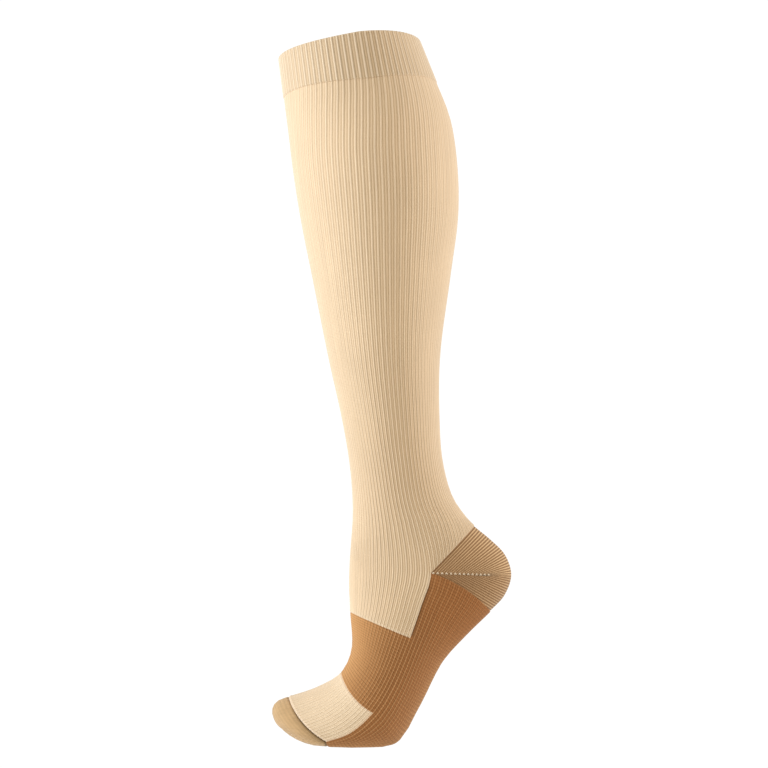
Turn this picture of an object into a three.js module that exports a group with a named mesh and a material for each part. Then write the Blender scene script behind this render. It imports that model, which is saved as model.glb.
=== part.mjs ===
// Knee-high compression stocking, filled out as worn with the foot pointed down.
// Millimetres, +Z up, toe towards -X, heel towards +X, the two sides along Y.
// The origin is in the middle of the open cuff, where the leg holds the stocking up.
//
// The stocking is one knitted tube. Rings run round it from the cuff to the toe, and each
// ring has a front point, a side point and a back point. A ring is made of quarter
// ellipses that meet at the side points, so the section is a round calf, an oval ankle
// and a foot that is flatter below than above. At the heel the rings fan out from one
// point on each side of the ankle, as the turned heel of a knitted sock does.

import * as THREE from 'three';

// Cloth and seams
const WALL = 1.3; // knitted wall in the valley between two ribs
const WELT_WALL = 1.8; // the cuff is folded double
const RIB_HEIGHT = 0.45; // a rib stands this far out of the wall
const SEAM_GAP = 0.3; // clear distance between two pieces

// Columns run round the tube, one for each rib and one for each valley.
const RIBS = 84;
const COLUMNS = 2 * RIBS;
const QUARTER = COLUMNS / 4;
const PLAIN_STEP = 3; // plain cloth uses every third column
const INNER_STEP = 6; // the inside face uses every sixth column
const ARC_SAMPLES = 40; // steps used to share a quarter ring out evenly

// Rings from the cuff to the toe seam: x and z of the front, side and back points, the
// half width across the tube, and the rows of cloth from this ring to the next one.
const SECTIONS = [
  { name: 'rim', front: [-56.9, 10.4], side: [3.2, 17.4], back: [47.9, 22.4], halfWidth: 53, rows: 2, bow: 1 },
  { name: 'cuff_base', front: [-52.9, -20.3], side: [9.8, -14.4], back: [60.6, -9.6], halfWidth: 54.5, rows: 1 },
  { name: 'calf_rise', front: [-49.8, -43.9], side: [15.2, -39.8], back: [70.6, -36.3], halfWidth: 58, rows: 1 },
  { name: 'calf', front: [-46, -74.2], side: [18.4, -71], back: [75.5, -68.1], halfWidth: 60.5, rows: 2 },
  { name: 'calf_low', front: [-40, -111.9], side: [20.6, -109.6], back: [76.4, -107.4], halfWidth: 59, rows: 2 },
  { name: 'shin_mid', front: [-30.9, -157], side: [21.8, -155.2], back: [70.5, -153.6], halfWidth: 54.5, rows: 2 },
  { name: 'shin_low', front: [-18.8, -216.7], side: [23.5, -215.2], back: [62.6, -213.8], halfWidth: 46, rows: 1 },
  { name: 'shin_end', front: [-8.9, -261.3], side: [27.7, -259.8], back: [62, -258.3], halfWidth: 39.5, rows: 1 },
  { name: 'ankle', front: [-3, -296.8], side: [32.4, -294.1], back: [64.3, -291.6], halfWidth: 34, rows: 1 },
  { name: 'ankle_low', front: [-0.9, -329.2], side: [38.8, -323.1], back: [71.6, -318.2], halfWidth: 32, rows: 1 },
  { name: 'ankle_end', front: [-2.1, -349.8], side: [46, -339.5], back: [80.8, -332.1], halfWidth: 31.5, rows: 1 },
  { name: 'heel_top', front: [-3.1, -364.4], side: [55.3, -373.3], back: [87.8, -339.5], halfWidth: 31.5, rows: 10 },
  { name: 'heel_base', front: [-3.1, -364.4], side: [55.3, -373.3], back: [99.3, -401.7], halfWidth: 31.5, rows: 1 },
  { name: 'arch_rise', front: [-3.6, -383.4], side: [48.4, -396.1], back: [81.6, -418.8], halfWidth: 32.5, rows: 1 },
  { name: 'arch', front: [-2.7, -402.4], side: [40.1, -419.5], back: [64.1, -438.1], halfWidth: 35, rows: 2 },
  { name: 'ball_rise', front: [-1.8, -430.1], side: [25.5, -453.4], back: [46.7, -471.1], halfWidth: 39, rows: 2 },
  { name: 'ball', front: [-9.6, -446.7], side: [13.7, -471.9], back: [30.3, -496.4], halfWidth: 41, rows: 2, bow: 3 },
  { name: 'toe_rise', front: [-27.5, -457.3], side: [-2.7, -486.6], back: [5.4, -499.5], halfWidth: 38, rows: 2, bow: 3 },
  { name: 'toe_seam', front: [-48, -464.2], side: [-19.8, -493.1], back: [-19, -498.6], halfWidth: 33, rows: 5, bow: 3 },
];

// The heel's round back, from the heel's top ring to its base ring, as x and z.
const HEEL_ROUND = [[99.7, -349.4], [110.5, -360.7], [115, -375.3], [109.9, -390.2]];

// How far the round toe reaches past the toe seam, as x and z.
const TOE_REACH = [-22.5, -2.6];

// The knitted pieces. Each covers patches of cloth between two rings, all round the
// tube or on its front or back half only.
const PIECES = [
  {
    name: 'cuff',
    wall: WELT_WALL,
    ribbed: true,
    color: '#d3b892',
    patches: [{ from: 'rim', to: 'cuff_base', side: 'all' }],
  },
  {
    name: 'leg_and_instep',
    wall: WALL,
    ribbed: true,
    color: '#dcc09c',
    patches: [
      { from: 'cuff_base', to: 'heel_top', side: 'all' },
      { from: 'heel_base', to: 'arch', side: 'front' },
    ],
  },
  {
    name: 'heel_pocket',
    wall: WALL,
    ribbed: false,
    color: '#a98560',
    patches: [{ from: 'heel_top', to: 'heel_base', side: 'back' }],
  },
  {
    name: 'sole_and_arch_band',
    wall: WALL,
    ribbed: true,
    color: '#a87446',
    patches: [
      { from: 'heel_base', to: 'arch', side: 'back' },
      { from: 'arch', to: 'ball', side: 'all' },
      { from: 'ball', to: 'toe_seam', side: 'back' },
    ],
  },
  {
    name: 'toe_panel',
    wall: WALL,
    ribbed: true,
    color: '#ead2ab',
    patches: [{ from: 'ball', to: 'toe_seam', side: 'front' }],
  },
  {
    name: 'toe_cap',
    wall: WALL,
    ribbed: false,
    color: '#cba981',
    patches: [{ from: 'toe_seam', to: 'toe_tip', side: 'all' }],
  },
];

const sectionNumber = (name) => SECTIONS.findIndex((section) => section.name === name);
const HEEL_TOP = sectionNumber('heel_top');
const HEEL_BASE = sectionNumber('heel_base');
const TOE_SEAM = sectionNumber('toe_seam');

// Smooth curves down the front, the sides and the back. The heel's rings share one front
// point and one side point, so those two curves pass them once.
const ringsWithOneHeel = SECTIONS.filter((section) => section.name !== 'heel_base');
const frontCurve = smoothCurve(ringsWithOneHeel.map(({ front }) => inMiddle(front)));
const sideCurve = smoothCurve(
  ringsWithOneHeel.map(({ side, halfWidth }) => new THREE.Vector3(side[0], halfWidth, side[1])),
);
const bowCurve = smoothCurve(ringsWithOneHeel.map(({ bow = 0 }, number) => new THREE.Vector3(number, bow, 0)));
const backCurve = smoothCurve([
  ...SECTIONS.slice(0, HEEL_BASE).map(({ back }) => inMiddle(back)),
  ...HEEL_ROUND.map(inMiddle),
  ...SECTIONS.slice(HEEL_BASE).map(({ back }) => inMiddle(back)),
]);

function inMiddle([x, z]) {
  return new THREE.Vector3(x, 0, z);
}

function smoothCurve(points) {
  return new THREE.CatmullRomCurve3(points, false, 'centripetal');
}

function curvePoint(curve, pointNumber) {
  return curve.getPoint(pointNumber / (curve.points.length - 1));
}

// A station counts sections along the tube, and fractions lie between two of them.
function ringAt(station) {
  const pastHeelTop = THREE.MathUtils.clamp(station - HEEL_TOP, 0, 1);
  const frontNumber = station - pastHeelTop;
  const backNumber = station + pastHeelTop * HEEL_ROUND.length;
  return {
    front: curvePoint(frontCurve, frontNumber),
    side: curvePoint(sideCurve, frontNumber),
    back: curvePoint(backCurve, backNumber),
    bow: curvePoint(bowCurve, frontNumber).y,
  };
}

// The toe is half an ellipsoid on the toe seam's ring, and turn runs from 0 at the seam
// to a quarter turn at the tip.
function toeRingAt(turn) {
  const seam = ringAt(TOE_SEAM);
  const middle = seam.front.clone().add(seam.back).multiplyScalar(0.5);
  const reach = inMiddle(TOE_REACH).multiplyScalar(Math.sin(turn));
  const drawnIn = (point) => point.clone().sub(middle).multiplyScalar(Math.cos(turn)).add(middle).add(reach);
  return {
    front: drawnIn(seam.front),
    side: drawnIn(seam.side),
    back: drawnIn(seam.back),
    bow: seam.bow * Math.cos(turn),
  };
}

// Points of a quarter ring from its end point, front or back, to its side point. They
// are the same distance apart along the cloth, as the ribs are. The bow moves the middle
// of the quarter along the tube.
function quarterRing(end, side, bow) {
  const away = new THREE.Vector3(end.x - side.x, 0, end.z - side.z);
  const downTheTube = new THREE.Vector3(-away.z, 0, away.x).normalize();
  const curve = new THREE.Curve();
  curve.arcLengthDivisions = ARC_SAMPLES;
  curve.getPoint = (t, target = new THREE.Vector3()) => {
    const reach = Math.cos((t * Math.PI) / 2);
    target.set(side.x, side.y * Math.sin((t * Math.PI) / 2), side.z);
    target.addScaledVector(away, reach);
    return target.addScaledVector(downTheTube, 4 * bow * reach * (1 - reach));
  };
  return curve.getSpacedPoints(QUARTER);
}

// All the columns of one ring, from the front point round the +Y side and back.
function ringPoints({ front, side, back, bow }) {
  const frontQuarter = quarterRing(front, side, bow);
  const backQuarter = quarterRing(back, side, 0).reverse();
  const oneSide = [...frontQuarter, ...backQuarter.slice(1)];
  const otherSide = oneSide.slice(1, -1).reverse().map(({ x, y, z }) => new THREE.Vector3(x, -y, z));
  return [...oneSide, ...otherSide];
}

// Rows of cloth down the whole tube, with the row at which each section starts.
function makeRows() {
  const rows = [];
  const firstRow = {};
  SECTIONS.forEach(({ name, rows: count }, number) => {
    firstRow[name] = rows.length;
    for (let step = 0; step < count; step += 1) {
      const ring = number === TOE_SEAM ? toeRingAt((step / count) * (Math.PI / 2)) : ringAt(number + step / count);
      rows.push(ringPoints(ring));
    }
  });
  firstRow.toe_tip = rows.length;
  rows.push([middlePoint(toeRingAt(Math.PI / 2))]);
  return { rows, firstRow };
}

function middlePoint({ front }) {
  return front.clone();
}

const { rows: ROWS, firstRow: FIRST_ROW } = makeRows();

// The name of a point of the cloth. The rings of the heel share their front half, and
// the toe's last ring is one point.
function pointKey(row, column) {
  const around = ((column % COLUMNS) + COLUMNS) % COLUMNS;
  const onBack = around > QUARTER && around < 3 * QUARTER;
  if (row === FIRST_ROW.toe_tip) {
    return `${row}:0`;
  }
  if (!onBack && row > FIRST_ROW.heel_top && row <= FIRST_ROW.heel_base) {
    return `${FIRST_ROW.heel_top}:${around}`;
  }
  return `${row}:${around}`;
}

function pointAt(key) {
  const [row, column] = key.split(':').map(Number);
  return ROWS[row][column];
}

function columnAt(key) {
  return Number(key.split(':')[1]);
}

// Triangles of point names that cover the patches, facing outwards.
function coverPatches(patches, columnStep) {
  const triangles = [];
  const addTriangle = (a, b, c) => {
    if (a !== b && b !== c && c !== a) {
      triangles.push([a, b, c]);
    }
  };
  const columnRange = { all: [0, COLUMNS], front: [-QUARTER, QUARTER], back: [QUARTER, 3 * QUARTER] };
  for (const { from, to, side } of patches) {
    const [firstColumn, lastColumn] = columnRange[side];
    for (let row = FIRST_ROW[from]; row < FIRST_ROW[to]; row += 1) {
      for (let column = firstColumn; column < lastColumn; column += columnStep) {
        const a = pointKey(row, column);
        const b = pointKey(row, column + columnStep);
        const c = pointKey(row + 1, column + columnStep);
        const d = pointKey(row + 1, column);
        addTriangle(a, b, c);
        addTriangle(a, c, d);
      }
    }
  }
  return triangles;
}

// The direction out of the cloth at each point, taken over the whole stocking.
function makeNormals() {
  const normals = new Map();
  const wholeStocking = coverPatches(PIECES.flatMap(({ patches }) => patches), 1);
  for (const keys of wholeStocking) {
    const [a, b, c] = keys.map(pointAt);
    const faceNormal = b.clone().sub(a).cross(c.clone().sub(a));
    for (const key of keys) {
      const sum = normals.get(key) ?? new THREE.Vector3();
      normals.set(key, sum.add(faceNormal));
    }
  }
  normals.forEach((normal) => normal.normalize());
  return normals;
}

const NORMALS = makeNormals();

// Edges that only one triangle uses, as a map from the edge's first point to its second
// point and the triangle's third one.
function findRim(triangles) {
  const edges = new Map();
  for (const [a, b, c] of triangles) {
    edges.set(`${a}>${b}`, [a, b, c]);
    edges.set(`${b}>${c}`, [b, c, a]);
    edges.set(`${c}>${a}`, [c, a, b]);
  }
  const rim = new Map();
  for (const [a, b, c] of edges.values()) {
    if (!edges.has(`${b}>${a}`)) {
      rim.set(a, { next: b, across: c });
    }
  }
  return rim;
}

// How far each point of a piece's rim is drawn in, so that neighbours keep the seam gap.
function findInsets(rim) {
  const intoPiece = new Map();
  const openRims = new Set([pointKey(FIRST_ROW.rim, 0).split(':')[0]]);
  rim.forEach(({ next, across }, start) => {
    const a = pointAt(start);
    const along = pointAt(next).clone().sub(a).normalize();
    const inwards = pointAt(across).clone().sub(a);
    inwards.addScaledVector(along, -inwards.dot(along)).normalize();
    if (openRims.has(start.split(':')[0])) {
      return;
    }
    for (const key of [start, next]) {
      intoPiece.set(key, [...(intoPiece.get(key) ?? []), inwards]);
    }
  });
  const insets = new Map();
  intoPiece.forEach((directions, key) => {
    const sum = directions.reduce((total, direction) => total.add(direction), new THREE.Vector3());
    const spread = directions.length === 2 ? 1 + directions[0].dot(directions[1]) : 1;
    insets.set(key, sum.multiplyScalar(SEAM_GAP / 2 / spread));
  });
  return insets;
}

// One piece of cloth as a closed wall: the outer face with its ribs, the plain inner
// face, and the cut edge between them.
function makeCloth({ patches, wall, ribbed }) {
  const outer = coverPatches(patches, ribbed ? 1 : PLAIN_STEP);
  const inner = coverPatches(patches, INNER_STEP);
  const outerRim = findRim(outer);
  const innerRim = findRim(inner);
  const insets = findInsets(outerRim);
  const positions = [];
  const numbers = new Map();
  const vertex = (face, key) => {
    const name = `${face} ${key}`;
    if (!numbers.has(name)) {
      const ribHeight = ribbed && columnAt(key) % 2 === 0 ? RIB_HEIGHT : 0;
      const height = face === 'outer' ? ribHeight : -wall;
      const point = pointAt(key).clone().addScaledVector(NORMALS.get(key), height);
      point.add(insets.get(key) ?? new THREE.Vector3());
      numbers.set(name, positions.length / 3);
      positions.push(point.x, point.y, point.z);
    }
    return numbers.get(name);
  };
  const index = [];
  outer.forEach(([a, b, c]) => index.push(vertex('outer', a), vertex('outer', b), vertex('outer', c)));
  inner.forEach(([a, b, c]) => index.push(vertex('inner', c), vertex('inner', b), vertex('inner', a)));
  innerRim.forEach(({ next: innerEnd }, innerStart) => {
    const chain = outerChain(outerRim, innerStart, innerEnd);
    const turn = Math.floor((chain.length - 1) / 2);
    for (let link = 0; link + 1 < chain.length; link += 1) {
      const innerPoint = link < turn ? innerStart : innerEnd;
      index.push(vertex('outer', chain[link + 1]), vertex('outer', chain[link]), vertex('inner', innerPoint));
    }
    index.push(vertex('inner', innerEnd), vertex('outer', chain[turn]), vertex('inner', innerStart));
  });
  const geometry = new THREE.BufferGeometry();
  geometry.setAttribute('position', new THREE.Float32BufferAttribute(positions, 3));
  geometry.setIndex(index);
  geometry.computeVertexNormals();
  return geometry;
}

// The outer rim's points from one point to another.
function outerChain(outerRim, start, end) {
  const chain = [start];
  while (chain[chain.length - 1] !== end) {
    chain.push(outerRim.get(chain[chain.length - 1]).next);
  }
  return chain;
}

function makePiece(piece) {
  const material = new THREE.MeshStandardMaterial({ color: piece.color, roughness: 0.85, metalness: 0 });
  const mesh = new THREE.Mesh(makeCloth(piece), material);
  mesh.name = piece.name;
  return mesh;
}

const stocking = new THREE.Group();
PIECES.forEach((piece) => stocking.add(makePiece(piece)));

export default stocking;
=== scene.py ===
"""A knee-high compression stocking, filled out as worn with the foot pointed down.

The stocking is one knitted tube. Rings run round it from the cuff to the toe, and each
zone of the knitting is laid on those rings as a grid of wales and courses, raised into
its ribs and given a wall.
"""

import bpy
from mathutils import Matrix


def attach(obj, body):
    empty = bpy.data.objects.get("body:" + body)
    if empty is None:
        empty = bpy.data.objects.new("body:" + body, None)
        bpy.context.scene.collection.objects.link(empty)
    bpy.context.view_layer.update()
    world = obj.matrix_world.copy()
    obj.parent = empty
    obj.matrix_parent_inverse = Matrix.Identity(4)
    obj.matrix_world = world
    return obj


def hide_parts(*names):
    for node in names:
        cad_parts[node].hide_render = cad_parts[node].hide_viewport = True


bl_info = {
    "name": "Compression Stocking",
    "version": (1, 0, 0),
    "blender": (4, 5, 0),
    "location": "3D View > Sidebar > Stocking",
    "description": "Knits a ribbed knee-high compression stocking in shape",
    "category": "Object",
}

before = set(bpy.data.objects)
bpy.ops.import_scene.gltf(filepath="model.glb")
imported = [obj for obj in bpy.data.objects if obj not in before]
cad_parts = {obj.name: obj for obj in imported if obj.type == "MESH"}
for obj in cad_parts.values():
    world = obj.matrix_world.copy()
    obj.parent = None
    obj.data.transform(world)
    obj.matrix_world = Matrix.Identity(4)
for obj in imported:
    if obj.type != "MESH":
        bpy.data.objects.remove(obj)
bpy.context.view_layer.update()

import bisect
import math
from collections import namedtuple
from functools import lru_cache

import bmesh
import bpy
from mathutils import Vector
from mathutils.kdtree import KDTree

# Rings from the cuff to the toe seam, in metres: x and z of the front, side and back
# points, and the half width across the tube. A bow moves the middle of the ring's front
# or back quarters along the tube.
Ring = namedtuple("Ring", "name front side back half_width front_bow back_bow")
RINGS = [
    Ring("rim", (-0.0569, 0.0104), (0.0032, 0.0174), (0.0479, 0.0224), 0.053, 0.001, 0),
    Ring("cuff_base", (-0.0529, -0.0203), (0.0098, -0.0178), (0.0606, -0.0096), 0.0545, 0, 0),
    Ring("calf_rise", (-0.0498, -0.0439), (0.0152, -0.0398), (0.0706, -0.0363), 0.058, 0, 0),
    Ring("calf", (-0.046, -0.0742), (0.0184, -0.071), (0.0755, -0.0681), 0.0605, 0, 0),
    Ring("calf_low", (-0.04, -0.1119), (0.0206, -0.1096), (0.0764, -0.1074), 0.059, 0, 0),
    Ring("shin_mid", (-0.0309, -0.157), (0.0218, -0.1552), (0.0705, -0.1536), 0.0545, 0, 0),
    Ring("shin_low", (-0.0188, -0.2167), (0.0235, -0.2152), (0.0626, -0.2138), 0.046, 0, 0),
    Ring("shin_end", (-0.0089, -0.2613), (0.0277, -0.2598), (0.062, -0.2583), 0.0395, 0, 0),
    Ring("ankle", (-0.003, -0.2968), (0.0324, -0.2941), (0.0643, -0.2916), 0.034, 0, 0),
    Ring("ankle_low", (-0.0009, -0.3292), (0.0388, -0.3231), (0.0716, -0.3182), 0.032, 0, 0),
    Ring("ankle_end", (-0.0021, -0.3498), (0.046, -0.3395), (0.0808, -0.3321), 0.0315, 0, 0),
    Ring("heel_top", (-0.0031, -0.3644), (0.0553, -0.3733), (0.0878, -0.3395), 0.0315, 0, 0),
    Ring("heel_base", (-0.0031, -0.3644), (0.0553, -0.3733), (0.0993, -0.4017), 0.0315, 0, 0.0034),
    Ring("arch_rise", (-0.0036, -0.3834), (0.0484, -0.3961), (0.0816, -0.4188), 0.0325, 0, 0.0012),
    Ring("arch", (-0.0027, -0.4024), (0.0401, -0.4195), (0.0641, -0.4381), 0.035, 0, 0),
    Ring("ball_rise", (-0.0018, -0.4301), (0.0255, -0.4534), (0.0467, -0.4711), 0.039, 0, 0),
    Ring("ball", (-0.0096, -0.4467), (0.0137, -0.4719), (0.0303, -0.4964), 0.041, 0.003, 0),
    Ring("toe_rise", (-0.0275, -0.4573), (-0.0027, -0.4866), (0.0054, -0.4995), 0.038, 0.003, 0),
    Ring("toe_seam", (-0.048, -0.4642), (-0.0198, -0.4931), (-0.019, -0.4986), 0.033, 0.003, 0),
]
# The back of the heel between its upper and lower edge: x, z and back bow.
HEEL_ROUND = [
    (0.0997, -0.3494, 0),
    (0.1105, -0.3607, 0),
    (0.115, -0.3753, 0),
    (0.1099, -0.3902, 0.0017),
]
TOE_REACH = (-0.0225, -0.0026)

# How the ribs lie on each ring: how many wales they are turned round the tube, how much
# closer they lie at the front than at the sides, the height of the rib between two full
# ones as a share of theirs, and how many wales lie from the front line to the side line.
Lay = namedtuple("Lay", "name twist gather small_rib side_wale")
LAYS = [
    Lay("rim", 4.3, 0, 0.4, 42),
    Lay("cuff_base", 3.8, 0, 0.4, 42),
    Lay("calf_rise", 1.8, 0, 0.6, 42),
    Lay("calf", 0.5, 0, 0.66, 42),
    Lay("calf_low", 0.2, 0, 0.66, 42),
    Lay("shin_mid", 0, 0, 0.66, 42),
    Lay("shin_low", 0, 0, 0.58, 42),
    Lay("shin_end", 0, 0, 0.48, 42.4),
    Lay("ankle", 0, 0, 0.3, 43),
    Lay("ankle_low", 0, 0, 0.3, 44.4),
    Lay("ankle_end", 0, 0.08, 0.35, 46),
    Lay("heel_top", 0, 0.22, 0.7, 48),
    Lay("heel_base", 0, 0.22, 0.7, 48),
    Lay("arch_rise", 0, 0.06, 0.62, 48),
    Lay("arch", 0, 0, 0.45, 48),
    Lay("ball_rise", 0, 0, 0.45, 48),
    Lay("ball", 0, 0, 0.35, 48),
    Lay("toe_rise", 0, 0, 0.25, 48),
    Lay("toe_seam", 0, 0, 0.25, 48),
]

# A station is a place along the tube: whole numbers are the rings, and the tip is the last.
STATION = {ring.name: number for number, ring in enumerate(RINGS)}
STATION["toe_tip"] = len(RINGS)
HEEL_TOP = STATION["heel_top"]
TOE_SEAM = STATION["toe_seam"]

WALES = 168  # stitches round the tube, two to each rib
SIDE_WALE = 48  # the wale on the foot's side line, where the heel's gore starts
BACK_WALE = WALES // 2
BACK_REACH = BACK_WALE - SIDE_WALE
COURSE_HEIGHT = 0.0011
STITCH_DEPTH = 0.0001
KNIT_LENGTH = 0.6  # the length that the knit map's V runs over

# The turned heel: its courses and the rows of its grid above and below the gore, and how
# far the gore runs from the side line towards the back.
UPPER_COURSES = 22
LOWER_COURSES = 16
UPPER_ROWS = 30
LOWER_ROWS = 20
GORE_REACH = 0.61
GORE_ROW = UPPER_ROWS / (UPPER_ROWS + LOWER_ROWS)

# Rolls and dips of the cloth, as distances from the edge that they follow.
ROLL_PLACE, ROLL_WIDTH = 0.0012, 0.0008
SEAM_RIDGE_PLACE, SEAM_RIDGE_WIDTH = 0.0018, 0.0010
SEAM_GROOVE_WIDTH = 0.0008
CUFF_EDGE_WIDTH = 0.0007
EDGE_BAND = 0.004  # the "closeness" attribute runs from 0 at this distance to 1 at a cut edge
ROWS_NEAR_EDGE = (0, 0.00015, 0.0004, 0.0008, 0.0013, 0.0019, 0.0027)

ARC_STEPS = 40  # steps used to share a quarter ring out evenly
HEEL_HALVINGS = 18  # steps of the search for a heel course
MERGE_DISTANCE = 2e-6
SHARP_EDGE = 1.0  # an edge that turns more than this, in radians, isn't shaded smooth
HEEL_MIDDLE = Vector((0.07, 0, -0.37))

# Patches of the tube, as two rings and the first and last wale.
Patch = namedtuple("Patch", "start end first_wale last_wale")
FRONT = (-SIDE_WALE, SIDE_WALE)
BACK = (SIDE_WALE, WALES - SIDE_WALE)
AROUND = (0, WALES)


def length_property(name, description, default):
    """A length that a user can change."""
    return bpy.props.FloatProperty(name=name, description=description, default=default, unit="LENGTH")


class StockingSizes(bpy.types.PropertyGroup):
    """Sizes of the cloth, its ribs and its seams"""

    wall: length_property("Wall", "Knitted wall in the valley between two ribs", 0.0013)
    welt_wall: length_property("Cuff wall", "Wall of the cuff, which is folded double", 0.0018)
    rib_height: length_property("Rib height", "Height of a full rib", 0.0006)
    cuff_rise: length_property("Cuff rise", "How far the double cuff stands above the leg", 0.0004)
    row_length: length_property("Row length", "Length of cloth between two rows of the grid", 0.0075)
    edge_drop: length_property("Edge drop", "How far the cloth dips where two zones meet", 0.00022)
    edge_reach: length_property("Edge reach", "Width of that dip on each side", 0.0008)
    edge_roll: length_property("Edge roll", "Height of the roll round the tongue and the toe panel", 0.00035)
    seam_ridge: length_property("Toe seam ridge", "Height of the rolled edge along the toe seam", 0.0006)
    seam_groove: length_property("Toe seam groove", "Depth of the toe seam between its rolled edges", 0.0003)
    gore_stitches: bpy.props.IntProperty(
        name="Gore stitches", description="Light stitches along each side of the heel", default=14, min=1
    )
    stitch_length: length_property("Stitch length", "Length of one leg of a gore stitch", 0.0017)
    stitch_width: length_property("Stitch width", "Thickness of the yarn of a gore stitch", 0.0007)


def colour_property(name, description, default):
    """A colour that a user can change."""
    return bpy.props.FloatVectorProperty(
        name=name, description=description, default=default, subtype="COLOR", size=3, min=0, max=1
    )


class StockingColours(bpy.types.PropertyGroup):
    """Yarn colours in linear light, with painted shade for the rib valleys and between loops, painted
    highlights on the rib tops and rolled edges, and painted shadows beside the tongue and in the toe seam
    """

    leg: colour_property("Leg", "Nude yarn of the leg and instep", (0.76, 0.55, 0.335))
    leg_shade: colour_property("Leg shade", "The leg between its ribs", (0.52, 0.33, 0.17))
    # Painted highlight on the tops of the leg's full ribs.
    leg_rib_highlight: colour_property("Leg ribs", "The tops of the leg's full ribs", (0.86, 0.68, 0.47))
    cuff: colour_property("Cuff", "Nude yarn of the cuff", (0.70, 0.50, 0.295))
    cuff_shade: colour_property("Cuff shade", "The cuff between its ribs", (0.44, 0.29, 0.165))
    # Painted highlight on the tops of the cuff's full ribs.
    cuff_rib_highlight: colour_property("Cuff ribs", "The tops of the cuff's full ribs", (0.88, 0.72, 0.52))
    copper: colour_property("Copper", "Copper-brown yarn of the sole and band", (0.405, 0.156, 0.046))
    copper_shade: colour_property("Copper shade", "The sole between its ribs", (0.21, 0.075, 0.02))
    # Lighter yarn with a painted highlight on the tops of the sole's ribs.
    copper_rib_yarn_and_highlight: colour_property("Copper ribs", "Lighter yarn on the sole's ribs", (0.66, 0.36, 0.15))
    # Painted light: the band on the front of the foot made lighter, where light falls on it.
    copper_front_painted_light: colour_property("Copper front", "The band on the front of the foot", (0.70, 0.36, 0.128))
    tongue_shadow: colour_property("Beside the tongue", "The sole beside the tongue", (0.10, 0.045, 0.014))
    heel: colour_property("Heel", "Brown yarn of the heel", (0.205, 0.084, 0.027))
    heel_light: colour_property("Heel stripes", "Lighter yarn plaited into the heel", (0.80, 0.52, 0.26))
    toe_panel: colour_property("Toe panel", "Pale yarn on top of the toes", (0.815, 0.615, 0.395))
    toe_cap: colour_property("Toe cap", "Tan yarn of the toe cap", (0.60, 0.37, 0.17))
    # Painted shadow in the toe seam's groove.
    seam: colour_property("Toe seam", "The sunk line of the toe seam", (0.10, 0.055, 0.014))
    # Painted highlight on the toe panel's rolled edge.
    panel_edge_highlight: colour_property("Toe panel edge", "Rolled edge of the toe panel", (0.88, 0.64, 0.44))
    stitch: colour_property("Gore stitches", "Light yarn along the heel's gore", (0.76, 0.59, 0.40))


def smooth_point(points, number):
    """A point on the smooth curve through the points, where whole numbers are the points."""
    last = len(points) - 1
    first = min(max(int(math.floor(number)), 0), last - 1)
    part = number - first
    here, following = points[first], points[first + 1]
    before = points[first - 1] if first else reflected(points[0], points[1])
    after = points[first + 2] if first + 2 <= last else reflected(points[last], points[last - 1])
    gap_in, gap, gap_out = (
        math.sqrt(math.dist(a, b)) for a, b in ((before, here), (here, following), (following, after))
    )
    return tuple(
        smooth_value(values, (gap_in, gap, gap_out), part) for values in zip(before, here, following, after)
    )


def reflected(point, other):
    """The point as far past the first one as the other lies before it."""
    return tuple(2 * a - b for a, b in zip(point, other))


def smooth_value(values, gaps, part):
    """One coordinate of a smooth curve between the second and third of four values."""
    before, here, following, after = values
    gap_in, gap, gap_out = gaps
    slope_in = (here - before) / gap_in - (following - before) / (gap_in + gap) + (following - here) / gap
    slope_out = (following - here) / gap - (after - here) / (gap + gap_out) + (after - following) / gap_out
    slope_in, slope_out = gap * slope_in, gap * slope_out
    square = 3 * (following - here) - 2 * slope_in - slope_out
    cube = 2 * (here - following) + slope_in + slope_out
    return here + part * (slope_in + part * (square + part * cube))


# Curves down the front, the sides and the back. The heel's rings share one front point
# and one side point, so those curves pass them once.
ONE_HEEL = [ring for ring in RINGS if ring.name != "heel_base"]
FRONT_LINE = [ring.front for ring in ONE_HEEL]
SIDE_LINE = [(ring.side[0], ring.half_width, ring.side[1]) for ring in ONE_HEEL]
BACKS = [(*ring.back, ring.back_bow) for ring in RINGS]
BACK_LINE = BACKS[: HEEL_TOP + 1] + HEEL_ROUND + BACKS[HEEL_TOP + 1 :]
BOW_LINE = [(number, ring.front_bow) for number, ring in enumerate(ONE_HEEL)]
LAY_LINE = [(number, *lay[1:]) for number, lay in enumerate(lay for lay in LAYS if lay.name != "heel_base")]


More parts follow.
